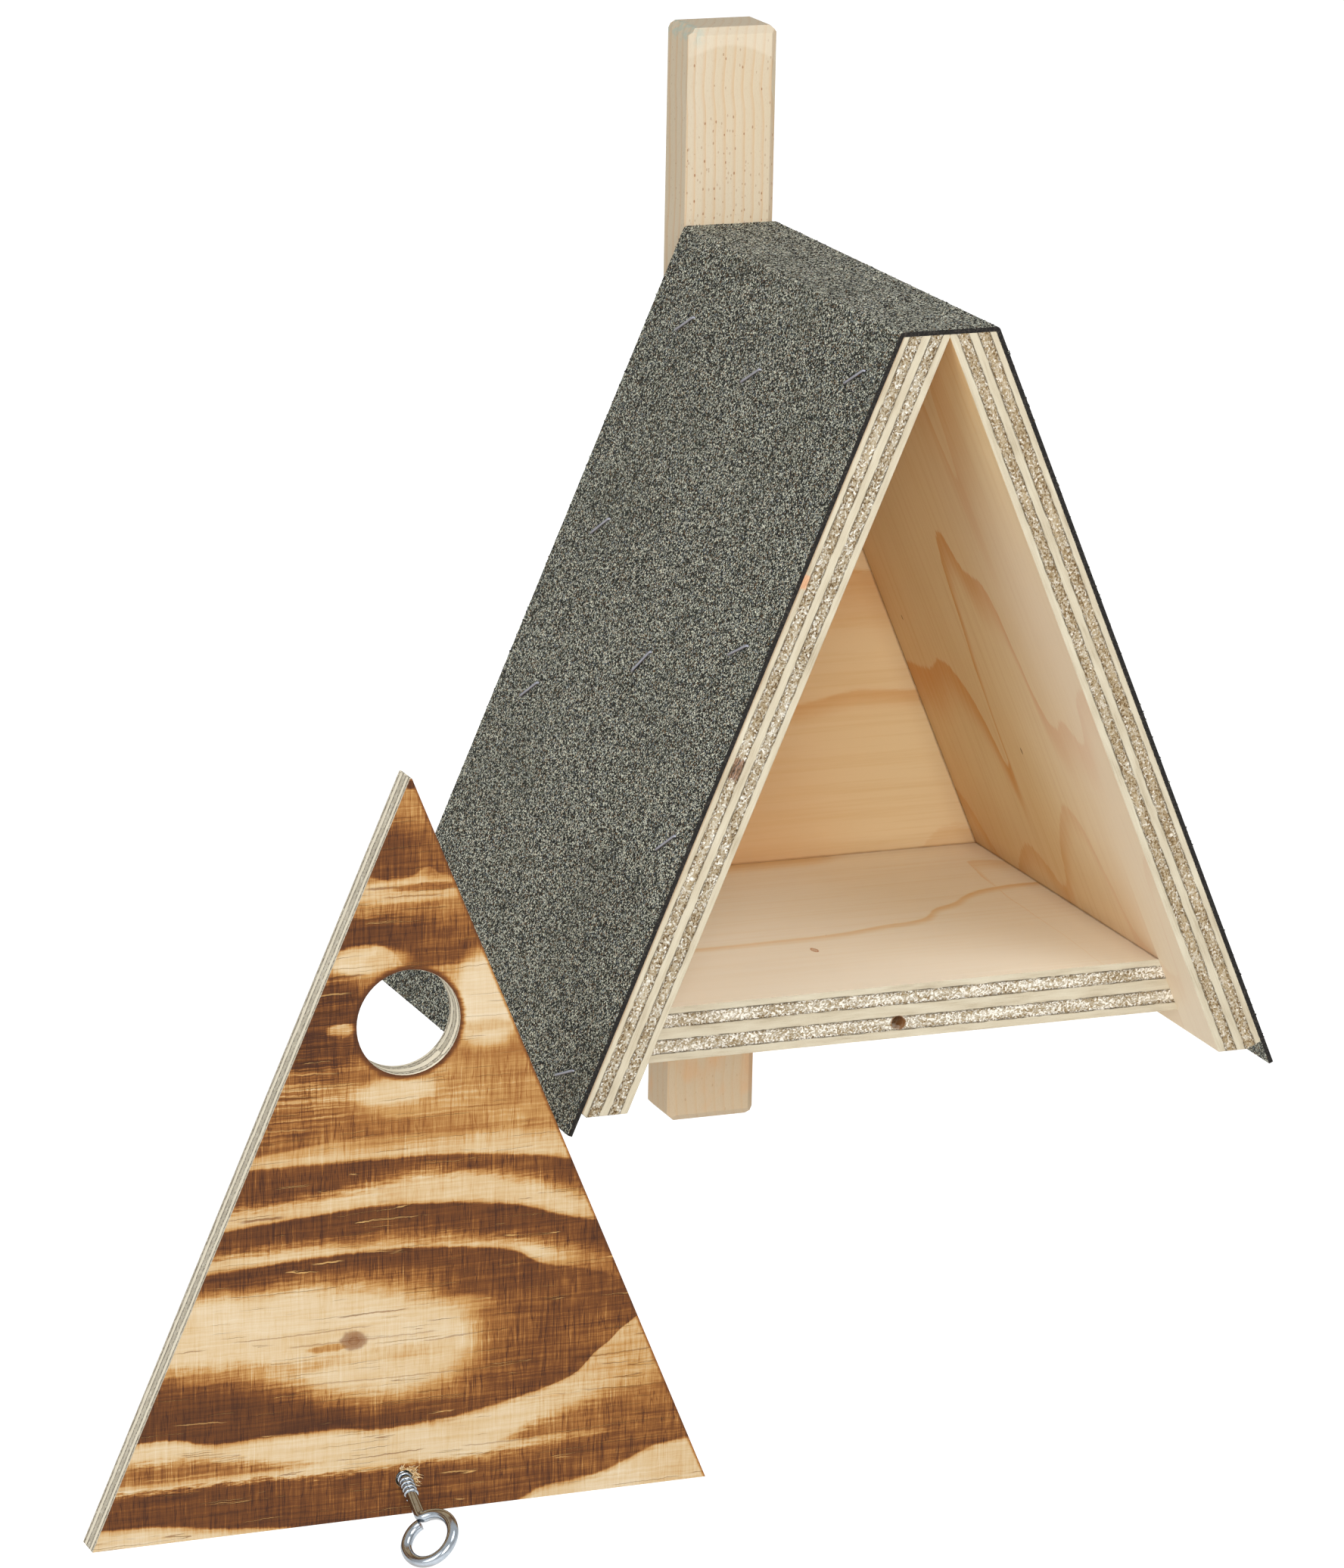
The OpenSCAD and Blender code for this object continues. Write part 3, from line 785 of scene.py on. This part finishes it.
def scorchedFace(f, grain, cross):
    # the flame darkens the wood in bands, crisp where a hard ring stopped it and soft on the other side
    broad = f.flow(grain * 0.03, cross * 0.05, 1.7, 3) - 0.5
    tremble = f.flow(grain * 0.3, cross * 0.3, 5.1, 4, 0.65) - 0.5
    ragged = f.flow(grain * 0.16, cross * 1.1, 9.3, 4, 0.7) - 0.5
    height = cross + broad * 1.8 + tremble * 1.1
    softly = cross + broad * 3.5 + ragged * 6.5
    lines = {name: f.line(grain, points, -140, 140, 260) for name, points in scorchLines.items()}
    level = f.ease(cross, 128, 119) * -0.24 + f.ease(cross, 80, 92) * 0.05 + 0.34
    for name, crisp, left, right, turn, *stop in scorchBands:
        pale, full = name + "Pale", name + "Full"
        low = scorchLines[crisp][0] < scorchLines[full][0]
        side = height - lines[crisp] if low else lines[crisp] - height
        soft = f.ease(softly, lines[pale], lines[full])
        level = f.larger(level, soft * f.ease(side, -3.4, 0.2) * 0.27)
        mask = soft * f.ease(side, -0.45, 0.7)
        mask = mask * (1 + f.ease(side, 9.0, 0.0) * 0.1)
        for line in stop:
            mask = mask * (height > lines[line])
        dark = f.ease(grain, -turn, turn) * (right - left) + left
        level = level + (dark - level) * mask
    for middle, half, tone, strength in scorchPatches:
        away = ((grain - middle[0]) / half[0]) ** 2 + ((height + ragged * 2 - middle[1]) / half[1]) ** 2
        mask = f.ease(away, 1.35, 0.35) * strength
        level = level + (tone - level) * mask

    # fine grain along the panel and brush marks across it
    grainLines = f.flow(grain * 0.02, height * 1.1, 2.0, 4, 0.65) - 0.5
    brush = f.flow(grain * 1.1, cross * 0.06, 3.0, 3, 0.75) - 0.5
    weave = f.flow(grain * 0.3, cross * 0.05, 8.0, 2) - 0.5
    hair = f.ease(abs(f.flow(grain * 0.75, cross * 0.035, 14.0, 2) - 0.5), 0.03, 0.0)
    beside = ((grain + 38) / 26) ** 2 + ((cross - 154) / 28) ** 2
    streaky = f.ease(beside, 1.3, 0.3)
    scorch = f.flow(grain * 0.05, cross * 0.09, 21.0, 3, 0.6) - 0.5
    mid = f.smaller(level, 1.3 - level) * 2
    tone = level + grainLines * (mid * 0.45 + 0.2 + streaky * 1.1) + hair * mid * 0.2
    tone = tone + (brush * 1.3 + weave * 0.28) * (mid * 0.42 + 0.04)
    tone = tone + scorch * (mid * 0.3 + 0.18)
    scratch = f.flow(grain * 1.7, cross * 0.045, 27.0, 2)
    tone = tone - f.ease(scratch, 0.61, 0.72) * (level * 0.2 + 0.04)

    # scorched rims of the entrance hole and the outer edges
    fromHole = f.calc("SQRT", grain ** 2 + (cross - scorchRim["holeRise"]) ** 2) - scorchRim["holeRadius"]
    rim = f.ease(fromHole + ragged * 2.0, scorchRim["reach"], 0.0)
    lean = abs(grain) * scorchRim["lean"] + cross
    fromEdge = (scorchRim["peak"] - lean) * scorchRim["slant"]
    rim = f.larger(rim, f.ease(fromEdge + ragged, 1.1, 0.0) * (grain > 0) * 0.5)
    tone = f.clamp(tone + (1 - tone) * rim * 0.85)
    colour = f.ramp(tone, scorchStops)
    raised = brush * 0.35 + grainLines * 0.5

    # long fine cracks that come by themselves, but not in the pale wood left of the knot, some with a
    # pale torn lip, and the ones given above
    crackField = f.flow(grain * 0.009, height * 0.42, 12.0, 1)
    where = f.flow(grain * 0.045, cross * 0.3, 17.0, 2)
    calm = ((grain + 58) / 14) ** 2 + ((cross - 57) / 6) ** 2
    where = where * (calm > 1.0)
    crack = f.ease(abs(crackField - 0.5), 0.01, 0.003) * f.ease(where, 0.52, 0.62) * 0.8
    lit = f.ease(abs(crackField - 0.512), 0.01, 0.004) * f.ease(where, 0.56, 0.64)
    for first, last, start, end, thick, strength in scorchCracks:
        slant = (end - start) / (last - first)
        near = abs(height - (grain - first) * slant - start) - ragged * 0.3
        span = f.ease(grain, first - 2, first + 2) * f.ease(grain, last + 2, last - 2)
        one = f.ease(near, thick, thick * 0.3) * span * abs(strength)
        if strength > 0:
            crack = f.larger(crack, one)
        else:
            lit = f.larger(lit, one)
    colour = f.over(colour, lit * f.clamp(level * 1.5) * 0.7, 226, 180, 112)
    colour = f.mix(crack * 0.8, colour, f.mix(f.clamp(level * 1.6), paint(128, 76, 34), paint(72, 42, 24)))
    return colour, raised - crack * 1.6 + lit * 0.4


scorchRim = {
    "holeRise": 162.5,
    "holeRadius": 17,
    "reach": 2.4,
    "lean": 2.356,  # how far a sloping edge rises for each millimetre across
    "peak": 241.5,
    "slant": 0.39,  # distance from that edge for each millimetre below it
}

frontBoard = {
    "start": panelFoot,
    "out": -inward,
    "grain": rightward,
    "cross": upward,
    "thickness": 10,
    "plies": [0.13, 0.33, 0.64, 0.86],
    "seed": 41.0,
    "paintedEdgeLight": (paint(252, 243, 220), 0.72),
    "tones": honeyTones,
    "relief": 0.12,
    "outerGloss": 0.1,
    "knotsAndHoleShade": [
        {
            "place": panelFoot + Vector((-0.0172, 0, 0.06)),
            "half": (4.6, 3, 3.3),
            "colour": paint(116, 64, 30),
            "soft": 0.45,
            "rim": 0.2,
            "depth": 0.68,
        }
    ],
    "innerRings": [
        growthRing("along", 22, 0.6, 50, 50, [(-60, 64), (0, 90), (60, 70)]),
        growthRing("along", 18, 0.55, 110, 110, [(-40, 128), (10, 150), (50, 132)]),
    ],
}
dress("front_panel", plywood("scorched_plywood", frontBoard, scorchedFace))
print("front panel finished")


# batten

battenWood = {"heart": (-62, 18), "ring": 2.9, "waver": 0.9}


def battenFinish(sizes):
    f = Finish("planed_spruce")
    x, y, z = [f.dot(f.place, axis) for axis in (rightward, inward, upward)]
    drift = f.flow(x * 0.02, y * 0.02, z * 0.006, 2) - 0.5
    sway = f.flow(0.0, 0.0, z * 0.02, 2) - 0.5
    sway = sway * 5 + (f.flow(x * 0.01, y * 0.01, z * 0.07, 2) - 0.5) * sizes["waver"] * 2
    away = (x - sizes["heart"][0] + sway) ** 2 + (y - sizes["heart"][1] + drift * 9) ** 2
    turns = f.calc("SQRT", away) / sizes["ring"] + drift * 1.2
    part = f.calc("FRACT", turns)
    late = f.ease(part, 0.5, 0.93) * f.ease(part, 1.0, 0.94)
    fibre = f.flow(x * 2.4, y * 2.4, z * 0.05, 4, 0.65)
    cloud = f.flow(x * 0.06, y * 0.06, z * 0.02, 2)
    endOn = abs(f.dot(f.facing, upward))
    base = f.mix(f.clamp(cloud * 1.6 - 0.3), paint(212, 198, 174), paint(208, 190, 160))
    colour = f.mix(late * 0.42 * (fibre * 0.8 + 0.6), base, paint(206, 164, 116))
    colour = f.over(colour, f.ease(fibre, 0.6, 0.85) * 0.3, 214, 190, 152)
    colour = f.over(colour, f.ease(endOn, 0.5, 0.9) * 0.5, 206, 192, 168)
    # small pores that sit on the rings, many of them where the wood leaves the roof
    speck = f.cells(f.join(x * 1.1, y * 1.1, z * 0.55), 0.9)
    ridgeRise = abs(z - apex.z * 1000 - 12)
    chosen = f.split(speck.other("Color"))[0] > 1.0 - f.ease(ridgeRise, 34, 4) * 0.4 - 0.08
    colour = f.over(colour, (speck < 0.26) * chosen * (late * 0.5 + 0.35), 150, 96, 58)
    top = battenHigh.z * 1000
    stain = f.ease(z, top - 8, top - 2) * f.ease(x, -8, -14) * f.ease(f.noise(f.place, 0.35, 3), 0.42, 0.6)
    colour = f.over(colour, stain * 0.4, 150, 190, 186)
    colour = f.over(colour, f.ease(z, -60, -110) * 0.6, 206, 180, 146)
    fuzz = f.flow(x * 2, y * 2, z * 0.7, 3, 0.7)
    colour = f.over(colour, f.ease(fuzz, 0.5, 0.75) * 0.22, 178, 142, 100)
    # the planed end is paler above a shallow arch, and the foot has an orange stain
    arch = top - 6 - ((x + 2) / 12) ** 2 * 3
    front = abs(f.dot(f.facing, inward))
    colour = f.over(colour, f.ease(z - arch, -0.8, 0.8) * front * 0.26, 236, 226, 206)
    foot = f.ease(f.flow(x * 0.08, y * 0.08, z * 0.05, 2), 0.5, 0.68) * f.ease(z, -110, -140)
    colour = f.over(colour, foot * 0.35, 222, 158, 98)
    height = fibre * 0.6 - late * 0.25 + fuzz * 0.3
    return f.close(f.skin(colour, 0.7 + endOn * 0.1, f.bump(height, 0.12)))


dress("batten", battenFinish(battenWood))
print("batten finished")


# roofing felt

feltGrit = {
    "grain": 2.4,
    "relief": 0.42,
    "stops": [
        (0.0, 20, 21, 14), (0.25, 54, 56, 42), (0.5, 94, 97, 79), (0.78, 150, 152, 132),
        (1.0, 240, 240, 220),
    ],
}


def feltFinish(sizes):
    f = Finish("mineral_felt")
    point = f.place
    one = f.cells(point, sizes["grain"])
    two = f.cells(point, sizes["grain"] * 1.8)
    grey = f.split(one.other("Color"))
    grey2 = f.split(two.other("Color"))
    high = f.along(feltHigh, upward)
    tone = grey[0] * 3.6 + grey2[0] * 1.1 - one * 0.3 - 2.32
    # painted light: the ridge's upward faces are painted lighter, as if lit from above; the slopes are
    # painted slightly darker towards the top
    tone = f.clamp(tone + (high > -1.0) * 0.26 - f.ease(high, -150.0, -5.0) * 0.08)
    colour = f.ramp(tone, sizes["stops"])
    colour = f.over(colour, (grey[1] > 0.92) * 0.5, 168, 128, 84)
    colour = f.over(colour, (grey[2] > 0.94) * 0.5, 150, 166, 178)
    cloud = f.noise(point, 0.03, 3)
    colour = f.over(colour, f.ease(cloud, 0.45, 0.7) * 0.18, 74, 76, 62)
    cut = abs(f.dot(f.facing, inward)) > 0.7
    fray = f.noise(point, 1.4, 3)
    colour = f.mix(cut, colour, f.mix(f.ease(fray, 0.5, 0.75), paint(24, 21, 18), paint(66, 60, 54)))
    pebble = (1 - one) * 0.6 + (1 - two) * 0.4 + grey[0] * 0.4
    return f.close(f.skin(colour, 0.88 - grey[2] * 0.25, f.bump(pebble, sizes["relief"])))


dress("roof_felt", feltFinish(feltGrit))
print("felt finished")


# metal


def metalFinish(name, bright, dark, roughness, scuffs):
    f = Finish(name)
    cloud = f.noise(f.place, 0.5, 3)
    fine = f.noise(f.place, 6.0, 3, 0.6)
    colour = f.mix(cloud, bright, dark)
    # undersides are painted darker and warmer: painted shade and a painted reflection of the wood below
    underReflection = f.ease(f.dot(f.facing, (-0.45, 0.25, -0.86)), 0.15, 0.6)
    colour = f.over(colour, underReflection * 0.42, 112, 92, 70)
    return f.close(f.skin(colour, roughness + fine * scuffs, f.bump(fine, 0.01), metallic=1.0, gloss=0.5))


zinc = metalFinish("bright_zinc", paint(184, 192, 200), paint(138, 145, 152), 0.08, 0.1)
greyZinc = metalFinish("weathered_zinc", paint(178, 180, 190), paint(128, 130, 138), 0.34, 0.2)
for name in cadNodes:
    if name.startswith("batten_screw"):
        dress(name, greyZinc)


# the screw eye

eye = {
    "rise": 0.012,  # above the panel's foot
    "bendOut": 0.0008,  # in front of the panel's face
    "droop": 26,
    "twist": 40,
    "threadRadius": 0.0024,
    "ridge": 0.00062,
    "pitch": 0.00168,
    "threadShown": 0.0074,
    "point": 0.005,
    "wire": 0.00185,
    "ring": 0.00835,
    "neck": 0.0172,  # from the bend at the panel to the ring's wire
    "elbow": 0.0021,
    "ringTurn": 351,
    "tuck": 0.0017,  # how far the cut end turns in
}


def turned(origin, along, side):
    # a frame whose Z runs along the given direction
    third = along.cross(side)
    return Matrix.Translation(origin) @ Matrix((side, third, along)).transposed().to_4x4()


def rolledThread(name, sizes, length, point):
    core = sizes["threadRadius"] - sizes["ridge"]
    given = {"Length": length, "Core": core, "Point": point, "Steps": 28, "Finish": zinc}
    s = Shape(name, {**given, "Pitch": sizes["pitch"], "Ridge": sizes["ridge"]})
    length, core = s.size("Length"), s.size("Core")
    taper = {"From Min": length - s.size("Point"), "From Max": length, "To Min": 1.0, "To Max": 0.22}
    slim = s.add("ShaderNodeMapRange", {"Value": s.spot("Z"), **taper})
    axis = s.rod((0, 0, 0), s.join(0, 0, length), 24)
    turn = s.add(
        "GeometryNodeCurveSpiral",
        {
            "Resolution": s.size("Steps"),
            "Rotations": length / s.size("Pitch"),
            "Start Radius": core,
            "End Radius": core,
            "Height": length,
        },
    )
    turn = s.move(turn, s.join(s.spot("X") * slim, s.spot("Y") * slim, s.spot("Z")))
    parts = [s.sweep(axis, core, 24, slim), s.sweep(turn, s.size("Ridge"), 10, slim)]
    return s.grow(s.add("GeometryNodeJoinGeometry", {0: parts}))


def wireRoute(sizes):
    # across and along the shank: straight, a tight elbow, then round the ring to the tucked end
    ring, elbow, neck = sizes["ring"], sizes["elbow"], sizes["neck"]
    reach = math.sqrt(ring * ring + 2 * ring * elbow)
    low = neck + ring - reach
    lean = math.atan2(elbow, reach)
    route = [(0, sizes["threadShown"] * 0.8), (0, low * 0.8)]
    steps = 14
    for i in range(steps):
        angle = math.pi - (math.pi / 2 - lean) * i / steps
        route.append((elbow + elbow * math.cos(angle), low + elbow * math.sin(angle)))
    steps = 96
    first, last = lean - math.pi / 2, math.radians(sizes["ringTurn"] - 90)
    for i in range(steps + 1):
        angle = first + (last - first) * i / steps
        far = ring - sizes["tuck"] * max(0, i / steps - 0.8) * 5
        route.append((far * math.cos(angle), neck + ring + far * math.sin(angle)))
    return route


def screwEye(sizes):
    bend = panelFoot + Vector((0, -sizes["bendOut"], sizes["rise"]))
    droop, twist = math.radians(sizes["droop"]), math.radians(sizes["twist"])
    along = Vector((0, -math.cos(droop), -math.sin(droop)))
    level = rightward
    side = level * math.cos(twist) + along.cross(level) * math.sin(twist)
    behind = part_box("screw_eye")[1].y - bend.y

    front = rolledThread("thread_front", sizes, sizes["threadShown"], 1e-6)
    front.data.transform(turned(bend, along, level))
    rear = rolledThread("thread_rear", sizes, behind, sizes["point"])
    rear.data.transform(turned(bend, inward, level))

    start = bpy.data.meshes.new("route")
    spots = [bend + side * across + along * down for across, down in wireRoute(sizes)]
    start.from_pydata(spots, [(i, i + 1) for i in range(len(spots) - 1)], [])
    s = Shape("bent_wire", {"Wire": sizes["wire"], "Finish": zinc})
    curve = s.add("GeometryNodeMeshToCurve", {"Mesh": s.given})
    wire = s.grow(s.sweep(curve, s.size("Wire"), 32), start)
    return joined("screw_eye_bent", [wire, front, rear])


def joined(name, pieces):
    # one object of several, which are removed
    whole = bmesh.new()
    for piece in pieces:
        whole.from_mesh(piece.data)
    mesh = bpy.data.meshes.new(name)
    whole.to_mesh(mesh)
    whole.free()
    for material in pieces[0].data.materials:
        mesh.materials.append(material)
    for piece in pieces:
        bpy.data.objects.remove(piece)
    return show(name, mesh)


ringEye = screwEye(eye)
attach(ringEye, "screw_eye")
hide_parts("screw_eye")
print("screw eye made")


# staples

staple = {
    "turns": [35, 35, 35, 30, 50, 40, 40, 40, 25],  # degrees, in the order of the nodes' numbers
    "width": 0.0112,
    "wire": 0.00048,
    "leg": 0.005,
    "crownUp": 0.003,  # crown's wire above the middle of the node's box
}


def markedPoints(name, spots, **marks):
    # a mesh of bare points, with a turn or a number on each
    mesh = bpy.data.meshes.new(name)
    mesh.from_pydata(spots, [], [])
    for label, values in marks.items():
        kind, place = ("FLOAT", "value") if isinstance(values[0], float) else ("FLOAT_VECTOR", "vector")
        layer = mesh.attributes.new(label, kind, "POINT")
        for entry, value in zip(layer.data, values):
            setattr(entry, place, value)
    return mesh


def stapleRow(sizes):
    # one point on each staple's crown, with the turn that lays the crown on its slope
    spots, turns = [], []
    for side, down, out in (("left", downLeft, outLeft), ("right", downRight, outRight)):
        for number, degrees in enumerate(sizes["turns"], 1):
            low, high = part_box("staple_%s_%d" % (side, number))
            turn = math.radians(degrees)
            crown = down * math.sin(turn) + Vector((0, math.cos(turn), 0))
            spots.append((low + high) / 2 + out * sizes["crownUp"])
            turns.append(Matrix((crown, out.cross(crown), out)).transposed().to_euler())
    start = markedPoints("staple_places", spots, tilt=turns)
    given = {"Half Width": sizes["width"] / 2, "Wire": sizes["wire"], "Leg": sizes["leg"]}
    s = Shape("bent_staples", {**given, "Finish": greyZinc})
    half, leg = s.size("Half Width"), s.size("Leg")
    line = s.rod(s.join(0 - half - leg, 0, 0), s.join(half + leg, 0, 0), 30)
    flat = s.larger(s.smaller(s.spot("X"), half), 0 - half)
    line = s.move(line, s.join(flat, 0, 0 - s.larger(abs(s.spot("X")) - half, 0)))
    wire = s.sweep(line, s.size("Wire"), 8)
    return s.grow(s.scatter(s.points(), wire, s.mark("tilt")), start)


staples = stapleRow(staple)
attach(staples, "box")
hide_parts(*[name for name in cadNodes if name.startswith("staple")])
print("staples made")


# granules that stand proud of the felt

granules = {"perArea": 430000.0, "smallest": 0.00026, "largest": 0.00057, "sink": 0.0001, "seed": 7}


def outerFelt(name, out):
    # a copy of the felt's faces that look out that way
    copy = bmesh.new()
    copy.from_mesh(cadNodes["roof_felt"].data)
    bmesh.ops.remove_doubles(copy, verts=copy.verts, dist=1e-5)
    others = [face for face in copy.faces if face.normal.dot(out) <= 0.98]
    bmesh.ops.delete(copy, geom=others, context="FACES")
    mesh = bpy.data.meshes.new(name)
    copy.to_mesh(mesh)
    copy.free()
    return mesh


def scatterGranules(name, sizes, out):
    given = {"Per Area": sizes["perArea"], "Sink": sizes["sink"], "Seed": sizes["seed"]}
    given = {**given, "Smallest": sizes["smallest"], "Largest": sizes["largest"]}
    s = Shape(name, {**given, "Finish": cadNodes["roof_felt"].material_slots[0].material})
    seed = s.size("Seed")
    inputs = {"Mesh": s.given, "Density": s.size("Per Area"), "Seed": seed}
    points = s.add("GeometryNodeDistributePointsOnFaces", inputs)
    lower = s.scale(points.other("Normal"), 0 - s.size("Sink"))
    points = s.add("GeometryNodeSetPosition", {"Geometry": points, "Offset": lower})
    inputs = {2: s.size("Smallest"), 3: s.size("Largest"), "Seed": seed}
    size = s.add("FunctionNodeRandomValue", inputs, 1, data_type="FLOAT")
    inputs = {0: (0, 0, 0), 1: (6.28, 6.28, 6.28), "Seed": seed}
    turn = s.add("FunctionNodeRandomValue", inputs, data_type="FLOAT_VECTOR")
    stone = s.add("GeometryNodeMeshUVSphere", {"Segments": 4, "Rings": 2, "Radius": 1.0})
    many = s.scatter(points, stone, turn, s.join(size, size * 0.8, size * 1.25))
    piece = s.grow(many, outerFelt(name, out))
    for vertex in piece.data.vertices:
        # none stands past the felt's outermost corner
        vertex.co.x = min(vertex.co.x, cadHigh.x)
    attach(piece, "box")


for side, out in (("left", outLeft), ("right", outRight), ("ridge", upward)):
    scatterGranules("felt_granules_" + side, granules, out)
print("granules scattered")


# torn fibres round the hole of the screw eye

fibres = {"count": 46, "hole": 0.0029, "length": 0.0026, "thickness": 0.00026, "seed": 11}


def tornFibres(sizes):
    dice = random.Random(sizes["seed"])
    middle = panelFoot + Vector((0, -0.0001, eye["rise"]))
    spots, turns, lengths = [], [], []
    for _ in range(sizes["count"]):
        # most of them at the upper right, where the wood broke out
        angle = math.radians(max(-50, min(110, dice.gauss(28, 48))))
        out = Vector((math.cos(angle), 0, math.sin(angle)))
        spots.append(middle + out * sizes["hole"] * dice.uniform(1.0, 1.45))
        lift = Vector((0, -dice.uniform(0.15, 0.9), 0))
        aim = out * dice.uniform(-0.5, 1.0) + Vector((out.z, 0, -out.x)) * dice.uniform(-1.2, 1.2) + lift
        turns.append(aim.normalized().to_track_quat("Z", "Y").to_euler())
        lengths.append(dice.uniform(0.4, 1.3))
    start = markedPoints("fibre_places", spots, tilt=turns, grown=lengths)
    given = {"Length": sizes["length"], "Thickness": sizes["thickness"]}
    s = Shape("torn_fibres", {**given, "Finish": splinterFinish()})
    length = s.size("Length")
    line = s.rod((0, 0, 0), s.join(0, 0, length), 5)
    part = s.spot("Z") / length
    line = s.move(line, s.join(part * part * length * 0.35, 0, part * length))
    splinter = s.sweep(line, s.size("Thickness"), 5, 1.05 - part)
    many = s.scatter(s.points(), splinter, s.mark("tilt"), s.join(1.4, 1, s.mark("grown", "FLOAT")))
    return s.grow(many, start)


def splinterFinish():
    f = Finish("torn_wood")
    mottle = f.noise(f.place, 1.2, 3)
    colour = f.mix(f.ease(mottle, 0.4, 0.62), paint(196, 156, 100), paint(236, 216, 178))
    return f.close(f.skin(colour, 0.8, f.bump(f.noise(f.place, 6, 2), 0.05), gloss=0.15))


splinters = tornFibres(fibres)
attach(splinters, "front_panel")
print("torn fibres made")


# worn edges on the wooden pieces

edgeWear = {"planed": 0.0025, "sawn": 0.0003}


def easeEdges(node, width):
    piece = cadNodes[node]
    weld = piece.modifiers.new("weld", "WELD")
    weld.merge_threshold = 1e-5
    flat = piece.modifiers.new("flat", "DECIMATE")
    flat.decimate_type = "DISSOLVE"
    flat.angle_limit = math.radians(1)
    edge = piece.modifiers.new("edge", "BEVEL")
    edge.width = width
    edge.segments = 3
    edge.limit_method = "ANGLE"
    edge.angle_limit = math.radians(40)


easeEdges("batten", edgeWear["planed"])
for node in ("left_roof_board", "right_roof_board", "floor", "back_panel", "front_panel"):
    easeEdges(node, edgeWear["sawn"])
print("edges worn")


# light and surroundings

studio = {
    "below": 0.6,
    "floorHalf": 18,
    "sky": 0.58,
    "floorGlow": 0.72,
    "lamps": [  # place from the middle, width, power
        ("key_lamp", (0.5, -1.3, 1.5), 1.1, 11),
        ("fill_lamp", (-1.6, -0.9, 0.4), 1.2, 9),
        ("front_lamp", (-0.45, -1.85, 0.55), 0.9, 20),
    ],
}


def placeLamp(name, place, target, width, power):
    data = bpy.data.lights.new(name, "AREA")
    data.shape = "DISK"
    data.size = width
    data.energy = power
    lamp = show(name, data)
    lamp.location = place
    lamp.rotation_mode = "QUATERNION"
    lamp.rotation_quaternion = (target - place).to_track_quat("-Z", "Y")


def seenRays(tree):
    # 1 for what the camera sees, straight or in a mirror or through glass
    sight = tree.add("ShaderNodeLightPath", output="Is Camera Ray")
    seen = tree.larger(sight, sight.other("Is Glossy Ray"))
    return tree.larger(seen, sight.other("Is Transmission Ray"))


def setStage(sizes):
    middle = (cadLow + cadHigh) / 2
    for name, away, width, power in sizes["lamps"]:
        placeLamp(name, middle + Vector(away), middle, width, power)

    half, down = sizes["floorHalf"], cadLow.z - sizes["below"]
    mesh = bpy.data.meshes.new("studio_floor")
    corners = [(-half, -half, down), (half, -half, down), (half, half, down), (-half, half, down)]
    mesh.from_pydata(corners, [], [(0, 1, 2, 3)])
    ground = show("studio_floor", mesh)
    f = Finish("pale_floor")
    strength = seenRays(f) * sizes["floorGlow"]
    glow = f.add("ShaderNodeEmission", {"Color": (1, 1, 1, 1), "Strength": strength})
    matt = f.add("ShaderNodeBsdfDiffuse", {"Color": (0.86, 0.86, 0.86, 1)})
    mesh.materials.append(f.close(f.add("ShaderNodeAddShader", {0: matt, 1: glow})))

    world = bpy.data.worlds.new("studio")
    world.use_nodes = True
    bpy.context.scene.world = world
    w = Tree(world.node_tree)
    level = w.add("ShaderNodeMapRange", {"Value": seenRays(w), "To Min": sizes["sky"], "To Max": 1.0})
    w.add("ShaderNodeOutputWorld", {0: w.add("ShaderNodeBackground", {"Strength": level})})
    bpy.context.scene.view_settings.view_transform = "Standard"


setStage(studio)
print("studio set")
